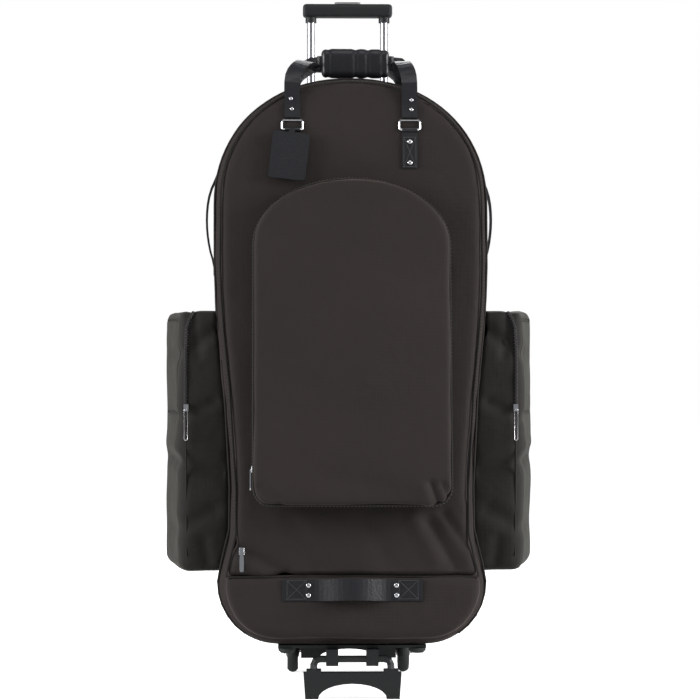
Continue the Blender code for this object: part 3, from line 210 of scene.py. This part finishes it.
def body_with(node):
    """The name of the body that a CAD node belongs to."""
    for body, nodes in frame["record"]["behaviour"]["bodies"].items():
        if node in nodes:
            return body


def sink(x, z, creases):
    """How far the cloth sinks at a place, from straight creases that fade out around them."""
    total = 0.0
    here = Vector((x, z))
    for start, end, depth, width in creases:
        start = Vector(start)
        along = Vector(end) - start
        share = max(0.0, min(1.0, (here - start).dot(along) / along.length_squared))
        total += depth * math.exp(-((start + along * share - here).length / width) ** 2)
    return total


def crown(place, middle, half):
    """How much of its swelling a padded face has at a place: all in the middle, none at its edges."""
    across = max(0.0, 1 - ((place.x - middle.x) / half.x) ** 2)
    upward = max(0.0, 1 - ((place.z - middle.z) / half.z) ** 2)
    return (across * upward) ** 0.5


MERGE_DISTANCE = 0.00001
RIPPLES_ACROSS = 9
RIPPLES_UPWARD = 16


def soft_copy(node, made, voxel=0.005, smooth=6, puff=0.0, crease=0.0015, seed=1.0, creases=()):
    """A remeshed, softened copy of a padded node, puffed and lightly wrinkled, that stands for it."""
    bpy.ops.object.select_all(action="DESELECT")
    mesh = frame["nodes"][node].data.copy()
    obj = bpy.data.objects.new(f"{node}_cloth", mesh)
    bpy.context.scene.collection.objects.link(obj)
    shape = bmesh.new()
    shape.from_mesh(mesh)
    bmesh.ops.remove_doubles(shape, verts=shape.verts, dist=MERGE_DISTANCE)
    shape.to_mesh(mesh)
    shape.free()
    obj.select_set(True)
    bpy.context.view_layer.objects.active = obj
    remesh = obj.modifiers.new("remesh", "REMESH")
    remesh.mode = "VOXEL"
    remesh.voxel_size = voxel
    bpy.ops.object.modifier_apply(modifier="remesh")
    soften = obj.modifiers.new("soften", "SMOOTH")
    soften.iterations = smooth
    soften.factor = 0.5
    bpy.ops.object.modifier_apply(modifier="soften")
    low, high = corners(node)
    middle = (low + high) / 2
    half = (high - low) / 2
    mesh = obj.data
    moves = []
    for vertex in mesh.vertices:
        place = vertex.co
        wave = Vector((place.x * RIPPLES_ACROSS + seed, place.y * RIPPLES_ACROSS, place.z * RIPPLES_UPWARD))
        swell = puff * crown(place, middle, half) + crease * noise.noise(wave)
        moves.append(vertex.normal * (swell - sink(place.x, place.z, creases)))
    for vertex, move in zip(mesh.vertices, moves):
        vertex.co += move
    mesh.materials.clear()
    mesh.materials.append(made)
    for face in mesh.polygons:
        face.use_smooth = True
    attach(obj, body_with(node))
    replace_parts(obj, node)
    return obj


# Padded shell.
# The back, the wall and the base are one foam shell covered with nylon. Its edges are soft, and it
# has only slight ripples.
soft_copy("main_shell", body_cloth, voxel=0.006, smooth=5, crease=0.002, seed=3.0)

# Lid.
# The front panel is foam and nylon too, and swells a little between its zips. Below the pocket the
# cloth is slack and lies in creases. A crease is start and end in X and Z, depth, and width.
LID_CREASES = (
    ((0.128, 0.285), (0.170, 0.215), 0.006, 0.011),
    ((0.100, 0.290), (0.135, 0.225), -0.004, 0.013),
    ((0.150, 0.300), (0.185, 0.250), 0.004, 0.008),
    ((-0.195, 0.255), (-0.110, 0.205), 0.005, 0.011),
    ((-0.180, 0.225), (-0.125, 0.190), -0.004, 0.010),
    ((-0.100, 0.295), (-0.060, 0.215), 0.003, 0.016),
    ((0.020, 0.290), (0.060, 0.220), 0.0025, 0.018),
    ((0.200, 0.420), (0.190, 0.330), 0.003, 0.010),
)
soft_copy("lid_panel", body_cloth, voxel=0.004, smooth=5, puff=0.004, crease=0.0015, seed=7.0, creases=LID_CREASES)

# Lower front panel.
# A separate padded panel under the lid, sewn to the shell all round, that carries the drag handle.
soft_copy("lower_front_panel", body_cloth, voxel=0.004, smooth=5, puff=0.003, crease=0.003, seed=11.0)

# Front pocket.
# A padded door on a wall of plain nylon. The door's lower corners are pulled into small creases by
# the ends of the zip.
POCKET_CREASES = (
    ((0.128, 0.352), (0.140, 0.318), 0.005, 0.006),
    ((0.112, 0.345), (0.122, 0.318), -0.003, 0.007),
    ((0.146, 0.350), (0.158, 0.325), 0.004, 0.006),
    ((-0.150, 0.345), (-0.120, 0.322), 0.003, 0.008),
    ((-0.040, 0.360), (0.060, 0.345), 0.002, 0.020),
)
soft_copy("front_pocket_door", body_cloth, voxel=0.003, smooth=4, puff=0.006, crease=0.002, seed=13.0,
          creases=POCKET_CREASES)
soft_copy("front_pocket_gusset", body_cloth, voxel=0.003, smooth=3, crease=0.0006, seed=17.0)

# Side pockets.
# Each is a deep unpadded pouch with a flap, so its cloth hangs in folds. They are mirror images.
SIDE_CREASES = (
    ((0.215, 0.365), (0.300, 0.385), 0.007, 0.012),
    ((0.220, 0.395), (0.300, 0.410), -0.004, 0.014),
    ((0.225, 0.600), (0.290, 0.560), 0.005, 0.012),
    ((0.230, 0.480), (0.285, 0.455), 0.004, 0.010),
    ((0.230, 0.300), (0.290, 0.270), 0.004, 0.014),
    ((0.268, 0.640), (0.255, 0.560), 0.003, 0.009),
    ((0.245, 0.250), (0.240, 0.215), 0.003, 0.010),
)
SIDES = (("left", -1), ("right", 1))
pocket_cloths = {}
flap_cloths = {}
for side, way in SIDES:
    bends = [((way * ax, az), (way * bx, bz), depth, width) for (ax, az), (bx, bz), depth, width in SIDE_CREASES]
    pocket_cloths[side] = soft_copy(f"side_pocket_{side}", pocket_cloth, voxel=0.003, smooth=4, puff=0.006,
                                    crease=0.003, seed=19.0, creases=bends)
    flap_cloths[side] = soft_copy(f"side_pocket_flap_{side}", pocket_cloth, voxel=0.003, smooth=4, puff=0.004,
                                  crease=0.002, seed=23.0, creases=bends)

# Zip tapes of the lid.
# Flat woven tapes, sewn along both sides of the seam round the lid.
for node in ("lid_zip_tape", "shell_zip_tape"):
    dress(node, tape_cloth)

# Seams of the lid and the front pocket.
# The front leans back, so a place on it is found from the hinge lines of the lid and the pocket's
# door. A seam follows a CAD node's outline, seen from the front.
POCKET_REACH = 0.0403
RIM_BINS = 240
RIM_CORE = 0.35
RIM_PASSES = 12
RIM_SAG = 0.0006
RIM_LONG_SPAN = 0.12
joints = {joint["name"]: joint for joint in frame["record"]["behaviour"]["joints"]}
lid_hinge = Vector(joints["lid_hinge"]["pos_m"])
pocket_hinge = Vector(joints["pocket_door_hinge"]["pos_m"])
LEAN = (pocket_hinge.y + POCKET_REACH - lid_hinge.y) / (pocket_hinge.z - lid_hinge.z)
FORWARD = Vector((0, -1, 0))


def rim(node, behind, grow=0.0, lowest=0.0):
    """A node's outline in order, grown outwards, at a distance behind the leaning front."""
    low, high = corners(node)
    middle = Vector(((low.x + high.x) / 2, (low.z + high.z) / 2))
    farthest = {}
    for vertex in frame["nodes"][node].data.vertices:
        flat = Vector((vertex.co.x, vertex.co.z)) - middle
        key = int((math.atan2(flat.y, flat.x) + math.pi) / math.tau * RIM_BINS)
        if flat.length > farthest.get(key, Vector((0, 0))).length:
            farthest[key] = flat
    ring = [farthest[key] for key in sorted(farthest)]
    reach = max(point.length for point in ring)
    ring = [point for point in ring if point.length > RIM_CORE * reach]
    # Points of the rounded edge lie inside the full outline, and are dropped.
    for _ in range(RIM_PASSES):
        kept = []
        for count, point in enumerate(ring):
            before, after = ring[count - 1], ring[(count + 1) % len(ring)]
            chord = (after - before).normalized()
            outward = Vector((chord.y, -chord.x))
            if (point - before).dot(outward) > -RIM_SAG or (after - before).length > RIM_LONG_SPAN:
                kept.append(point)
        ring = kept
    grown = [middle + point * (1 + grow / point.length) for point in ring]
    return [Vector((p.x, lid_hinge.y + (p.y - lid_hinge.z) * LEAN + behind, p.y)) for p in grown if p.y >= lowest]


def joined(name, data, made, body):
    """A new piece from its mesh or curve, with its material, riding on its body."""
    obj = bpy.data.objects.new(name, data)
    bpy.context.scene.collection.objects.link(obj)
    data.materials.append(made)
    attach(obj, body)
    return obj


def cord_along(name, points, radius, made, body, closed=True):
    """A thin round cord sewn along a seam."""
    curve = bpy.data.curves.new(name, "CURVE")
    curve.dimensions = "3D"
    curve.bevel_depth = radius
    curve.bevel_resolution = 2
    line = curve.splines.new("POLY")
    line.points.add(len(points) - 1)
    for spot, place in zip(line.points, points):
        spot.co = (*place, 1)
    line.use_cyclic_u = closed
    joined(name, curve, made, body)


def spaced(points, step, closed):
    """Places at one even step along a line, each with the direction of the line there."""
    line = points + points[:1] if closed else points
    left = 0.0
    for start, end in zip(line, line[1:]):
        length = (end - start).length
        while left < length:
            yield start.lerp(end, left / length), (end - start).normalized()
            left += step
        left -= length


def row_of(name, points, size, step, made, body, outward, closed=True, spread=0.0):
    """A row of small blocks along a line, such as zip teeth or stitches, set to its sides in turn."""
    mesh = bpy.data.meshes.new(name)
    shape = bmesh.new()
    for count, (place, along) in enumerate(spaced(points, step, closed)):
        side = along.cross(outward).normalized()
        up = side.cross(along).normalized()
        turn = Matrix((along, side, up)).transposed().to_4x4()
        shift = side * (spread if count % 2 else -spread)
        block = bmesh.ops.create_cube(shape, size=1)["verts"]
        lay = Matrix.Translation(place + shift) @ turn @ Matrix.Diagonal((*size, 1))
        bmesh.ops.transform(shape, matrix=lay, verts=block)
    shape.to_mesh(mesh)
    shape.free()
    joined(name, mesh, made, body)


# Piping of the front pocket and its zip.
# Piping is a thin cord covered in nylon, sewn into the pocket's front edge and its foot. The zip
# between them has a dark tape and two rows of small teeth.
PIPE = 0.0022
TOOTH = (0.0012, 0.0026, 0.0014)
TOOTH_PITCH = 0.0030
TOOTH_SPREAD = 0.0007
piping_cloth = woven("piping_cloth", (0.010, 0.008, 0.0075), (0.7, 0.65, 0.6), weave=2200.0, wrinkle=0.0)
teeth_finish = shader_of("teeth_finish", (0.10, 0.095, 0.09), 0.35, 1.0)[0]
front_edge = rim("front_pocket_gusset", -POCKET_REACH, 0.001)
cord_along("pocket_front_piping", front_edge, PIPE, piping_cloth, "lid")
foot_edge = rim("front_pocket_gusset", -0.003, 0.0035)
cord_along("pocket_base_piping", foot_edge, PIPE, piping_cloth, "lid")
POCKET_ZIP_FORWARD = 0.028
tape_line = rim("front_pocket_gusset", -POCKET_ZIP_FORWARD, 0.0006)
cord_along("pocket_zip_tape", tape_line, 0.0030, tape_cloth, "lid")
teeth_line = rim("front_pocket_gusset", -POCKET_ZIP_FORWARD, 0.0034)
row_of("pocket_zip_teeth", teeth_line, TOOTH, TOOTH_PITCH, teeth_finish, "lid", FORWARD,
       spread=TOOTH_SPREAD)

# Piping and zip round the lid, and piping on the shell's front edge.
# The lid's zip runs in the seam behind its edge, and ends above the lower front panel.
LID_ZIP_END_Z = 0.225
SHELL_PIPING_END_Z = 0.10
cord_along("lid_piping", rim("lid_panel", 0.003, 0.0014), PIPE, piping_cloth, "lid")
band_line = rim("lid_panel", 0.024, 0.0012, lowest=LID_ZIP_END_Z)
cord_along("lid_zip_band", band_line, 0.0024, tape_cloth, "lid", closed=False)
teeth_line = rim("lid_panel", 0.0208, 0.0040, lowest=LID_ZIP_END_Z)
row_of("lid_zip_teeth", teeth_line, TOOTH, TOOTH_PITCH, teeth_finish, "lid", FORWARD, closed=False,
       spread=TOOTH_SPREAD)
shell_line = rim("main_shell", 0.048, -0.0035, lowest=SHELL_PIPING_END_Z)
cord_along("shell_piping", shell_line, PIPE, piping_cloth, "bag", closed=False)


# Leather straps, tabs, handles and tag.
# Smooth thin finished hide with a fine pebble grain and a low gloss, cut and sewn flat.
def grained(name, colour, roughness, scale, depth, metallic=0.0, gloss=0.3):
    """A material with a fine grain that also varies its roughness."""
    made, tree, shader = shader_of(name, colour, roughness, metallic)
    shader.inputs["Specular IOR Level"].default_value = gloss
    place = tree.nodes.new("ShaderNodeTexCoord")
    grain = tree.nodes.new("ShaderNodeTexNoise")
    grain.inputs["Scale"].default_value = scale
    grain.inputs["Detail"].default_value = 4.0
    tree.links.new(place.outputs["Object"], grain.inputs["Vector"])
    bump = tree.nodes.new("ShaderNodeBump")
    bump.inputs["Strength"].default_value = 0.3
    bump.inputs["Distance"].default_value = depth
    tree.links.new(grain.outputs["Fac"], bump.inputs["Height"])
    tree.links.new(bump.outputs["Normal"], shader.inputs["Normal"])
    wear = tree.nodes.new("ShaderNodeMapRange")
    wear.inputs["To Min"].default_value = roughness * 0.8
    wear.inputs["To Max"].default_value = min(roughness * 1.25, 1.0)
    tree.links.new(grain.outputs["Fac"], wear.inputs["Value"])
    tree.links.new(wear.outputs["Result"], shader.inputs["Roughness"])
    return made


leather = grained("leather", (0.0065, 0.0065, 0.0080), 0.36, 260.0, 0.0012, gloss=0.34)
for node in (
    "front_tab_left", "front_tab_right", "rear_tab_left", "rear_tab_right", "front_handle_strap",
    "rear_handle_strap", "drag_handle", "side_handle_left", "side_handle_right", "luggage_tag", "tag_loop",
):
    dress(node, leather)

# Carry handle wrap.
# A padded leather sleeve that closes round both straps. Its stitching pulls soft dents across it,
# given as shares of its length.
DENT_SHARES = (0.10, 0.50, 0.68, 0.90)
DENT_DEPTH = 0.0018
DENT_WIDTH = 0.004
wrap_low, wrap_high = corners("handle_wrap")
dents = []
for share in DENT_SHARES:
    x = wrap_low.x + share * (wrap_high.x - wrap_low.x)
    dents.append(((x, wrap_low.z), (x, wrap_high.z), DENT_DEPTH, DENT_WIDTH))
soft_copy("handle_wrap", leather, voxel=0.002, smooth=4, puff=0.001, crease=0.0015, seed=29.0, creases=dents)

# Metal, plastic, foam and rubber.
# Rings, zip parts and axles are plated, tubes anodised, and the bracket, board, grip and foot plate
# are moulded. Each of these CAD nodes keeps its shape and takes the finish of its slot.
plated = grained("plated", (0.42, 0.42, 0.43), 0.18, 90.0, 0.0002, 1.0, gloss=0.5)
finishes = {
    "hardware": plated,
    "tube_aluminium": grained("anodised", (0.30, 0.30, 0.32), 0.32, 140.0, 0.0002, 1.0),
    "stand_steel": grained("coated", (0.012, 0.013, 0.013), 0.35, 160.0, 0.0004),
    "black_plastic": grained("moulded", (0.0095, 0.0105, 0.0105), 0.45, 420.0, 0.0006, gloss=0.22),
    "grey_plastic": grained("grey_moulded", (0.16, 0.16, 0.16), 0.45, 420.0, 0.0005),
    "foam": grained("plush", (0.05, 0.05, 0.055), 0.95, 500.0, 0.003),
    "rubber": grained("treaded", (0.018, 0.021, 0.020), 0.7, 300.0, 0.0008),
}
for entry in frame["record"]["subparts"]:
    if entry["material_slot"] in finishes:
        dress(entry["node"], finishes[entry["material_slot"]])


# Side pocket zips.
# Each flap closes with a zip that comes down the pocket's front, and ends in a slider with a long
# wire pull. A seam goes on from there to the bottom. Both lines are given in X and Z.
def on_front(obj, x, z, lift):
    """The place on a piece's front at an X and Z, lifted off it, or None beside the piece."""
    hit, place, normal, _ = obj.ray_cast(Vector((x, -1, z)), Vector((0, 1, 0)))
    return place + normal * lift if hit else None


SLIDER_BLOCK = (0.012, 0.008, 0.005)
PULL_HALF_WIDTH = 0.0028
PULL_WIRE = 0.0008
PULL_FORWARD = 0.0045
PULL_DROP = 0.002
PULL_POINTS = 24


def hanging_pull(name, place, length, body):
    """A slider block with a long wire loop hanging from it."""
    stub = [place, place + Vector((0, 0, -0.001))]
    row_of(f"{name}_slider", stub, SLIDER_BLOCK, 1.0, plated, body, FORWARD, closed=False)
    loop = []
    for step in range(PULL_POINTS):
        turn = math.tau * step / PULL_POINTS
        half_length = length / 2 - PULL_HALF_WIDTH
        end = half_length if math.sin(turn) >= 0 else -half_length
        rise = end + PULL_HALF_WIDTH * math.sin(turn) - length / 2 - PULL_DROP
        loop.append(place + Vector((PULL_HALF_WIDTH * math.cos(turn), -PULL_FORWARD, rise)))
    cord_along(f"{name}_pull", loop, PULL_WIRE, plated, body)


ZIP_ROUTE = ((0.262, 0.630), (0.268, 0.620), (0.273, 0.604), (0.2745, 0.575), (0.2745, 0.520), (0.2745, 0.472))
SEAM_ROUTE = ((0.2745, 0.452), (0.2745, 0.400), (0.2745, 0.340), (0.2740, 0.280), (0.2735, 0.225))
ZIP_LIFT = 0.0006
SEAM_LIFT = 0.0003
SIDE_TAPE = 0.0038
SIDE_SEAM = 0.0016
SIDE_TEETH_FORWARD = 0.0040
SIDE_SLIDER_FORWARD = 0.0045
SIDE_PULL_LENGTH = 0.052
for side, way in SIDES:
    flap = f"flap_{side}"
    zip_line = []
    for x, z in ZIP_ROUTE:
        place = on_front(flap_cloths[side], way * x, z, ZIP_LIFT)
        zip_line.append(place or on_front(pocket_cloths[side], way * x, z, ZIP_LIFT))
    cord_along(f"side_zip_tape_{side}", zip_line, SIDE_TAPE, tape_cloth, flap, closed=False)
    teeth_line = [place + FORWARD * SIDE_TEETH_FORWARD for place in zip_line]
    row_of(f"side_zip_teeth_{side}", teeth_line, TOOTH, TOOTH_PITCH, teeth_finish, flap, FORWARD,
           closed=False, spread=TOOTH_SPREAD)
    hanging_pull(f"side_zip_{side}", zip_line[-1] + FORWARD * SIDE_SLIDER_FORWARD, SIDE_PULL_LENGTH, flap)
    seam_line = [on_front(pocket_cloths[side], way * x, z, SEAM_LIFT) for x, z in SEAM_ROUTE]
    cord_along(f"side_seam_{side}", seam_line, SIDE_SEAM, piping_cloth, "bag", closed=False)

# Rivets of the tabs, the drag handle and the carry strap.
# Each is a plated dome pressed flat onto the leather. The first two kinds stand where their CAD
# rivets are; the strap's are given by X and Z, as the photograph shows them.
front_normal = Vector((0, -1, LEAN)).normalized()
front_up = Vector((0, LEAN, 1)).normalized()
RIVET_RADIUS = 0.0042
STRAP_RIVET_RADIUS = 0.00336
RIVET_RISE = 0.0022


def rivet_at(name, centre, radius, body):
    """A flat plated dome facing along the leaning front's normal."""
    mesh = bpy.data.meshes.new(name)
    shape = bmesh.new()
    ball = bmesh.ops.create_uvsphere(shape, u_segments=20, v_segments=12, radius=1)["verts"]
    turn = front_normal.to_track_quat("Z", "Y").to_matrix().to_4x4()
    lay = Matrix.Translation(centre) @ turn @ Matrix.Diagonal((radius, radius, RIVET_RISE, 1))
    bmesh.ops.transform(shape, matrix=lay, verts=ball)
    shape.to_mesh(mesh)
    shape.free()
    for face in mesh.polygons:
        face.use_smooth = True
    return joined(name, mesh, plated, body)


for node in ("tab_rivets_left", "tab_rivets_right", "drag_handle_rivets_left", "drag_handle_rivets_right"):
    low, high = corners(node)
    half_gap = (high.z - low.z) / 2 - RIVET_RADIUS
    for count, way in enumerate((-1, 1)):
        centre = (low + high) / 2 + front_up * half_gap * way
        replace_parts(rivet_at(f"{node}_{count}", centre, RIVET_RADIUS, body_with(node)), node)

STRAP_RIVETS = ((-0.1003, 0.988), (-0.0986, 0.971), (0.1012, 0.986), (0.1012, 0.970))
for count, (x, z) in enumerate(STRAP_RIVETS):
    centre = on_front(frame["nodes"]["front_handle_strap"], x, z, 0.0)
    rivet_at(f"strap_rivet_{count}", centre, STRAP_RIVET_RADIUS, "front_handle")

# Stitching on the tabs and the drag handle.
# Dark grey thread in short even stitches, in a rectangle with its diagonals at each sewn end.
STITCH = (0.0026, 0.0006, 0.0006)
STITCH_PITCH = 0.0036
STITCH_LIFT = 0.0002
TAB_MARGIN = 0.003
DRAG_SIDE_MARGIN = 0.004
DRAG_END_MARGIN = 0.006
DRAG_END_SHIFT = 0.002
thread = shader_of("thread", (0.05, 0.05, 0.055), 0.6)[0]


def sewn_box(name, middle, half_width, half_height, body):
    """A stitched rectangle with its diagonals, lying on the leaning front."""
    spots = []
    for across, up in ((-1, -1), (1, -1), (1, 1), (-1, 1)):
        spots.append(middle + Vector((half_width * across, 0, 0)) + front_up * half_height * up
                     + front_normal * STITCH_LIFT)
    for part, line in (("edge", spots), ("rise", [spots[0], spots[2]]), ("fall", [spots[1], spots[3]])):
        row_of(f"{name}_{part}", line, STITCH, STITCH_PITCH, thread, body, front_normal,
               closed=part == "edge")


drag_low, drag_high = corners("drag_handle")
for side, way in SIDES:
    low, high = corners(f"front_tab_{side}")
    rivet_low, rivet_high = corners(f"tab_rivets_{side}")
    centre = (rivet_low + rivet_high) / 2
    centre.x = (low.x + high.x) / 2
    half_height = (rivet_high.z - rivet_low.z) / 2 + TAB_MARGIN
    sewn_box(f"tab_stitching_{side}", centre, (high.x - low.x) / 2 - TAB_MARGIN, half_height, "lid")
    rivet_low, rivet_high = corners(f"drag_handle_rivets_{side}")
    outer = drag_low.x if way < 0 else drag_high.x
    inner = (rivet_low.x + rivet_high.x) / 2
    centre = Vector(((outer + inner) / 2 - way * DRAG_END_SHIFT, (rivet_low.y + rivet_high.y) / 2,
                     (drag_low.z + drag_high.z) / 2))
    half_height = (drag_high.z - drag_low.z) / 2 - DRAG_SIDE_MARGIN
    sewn_box(f"drag_stitching_{side}", centre, abs(outer - inner) / 2 - DRAG_END_MARGIN, half_height, "bag")
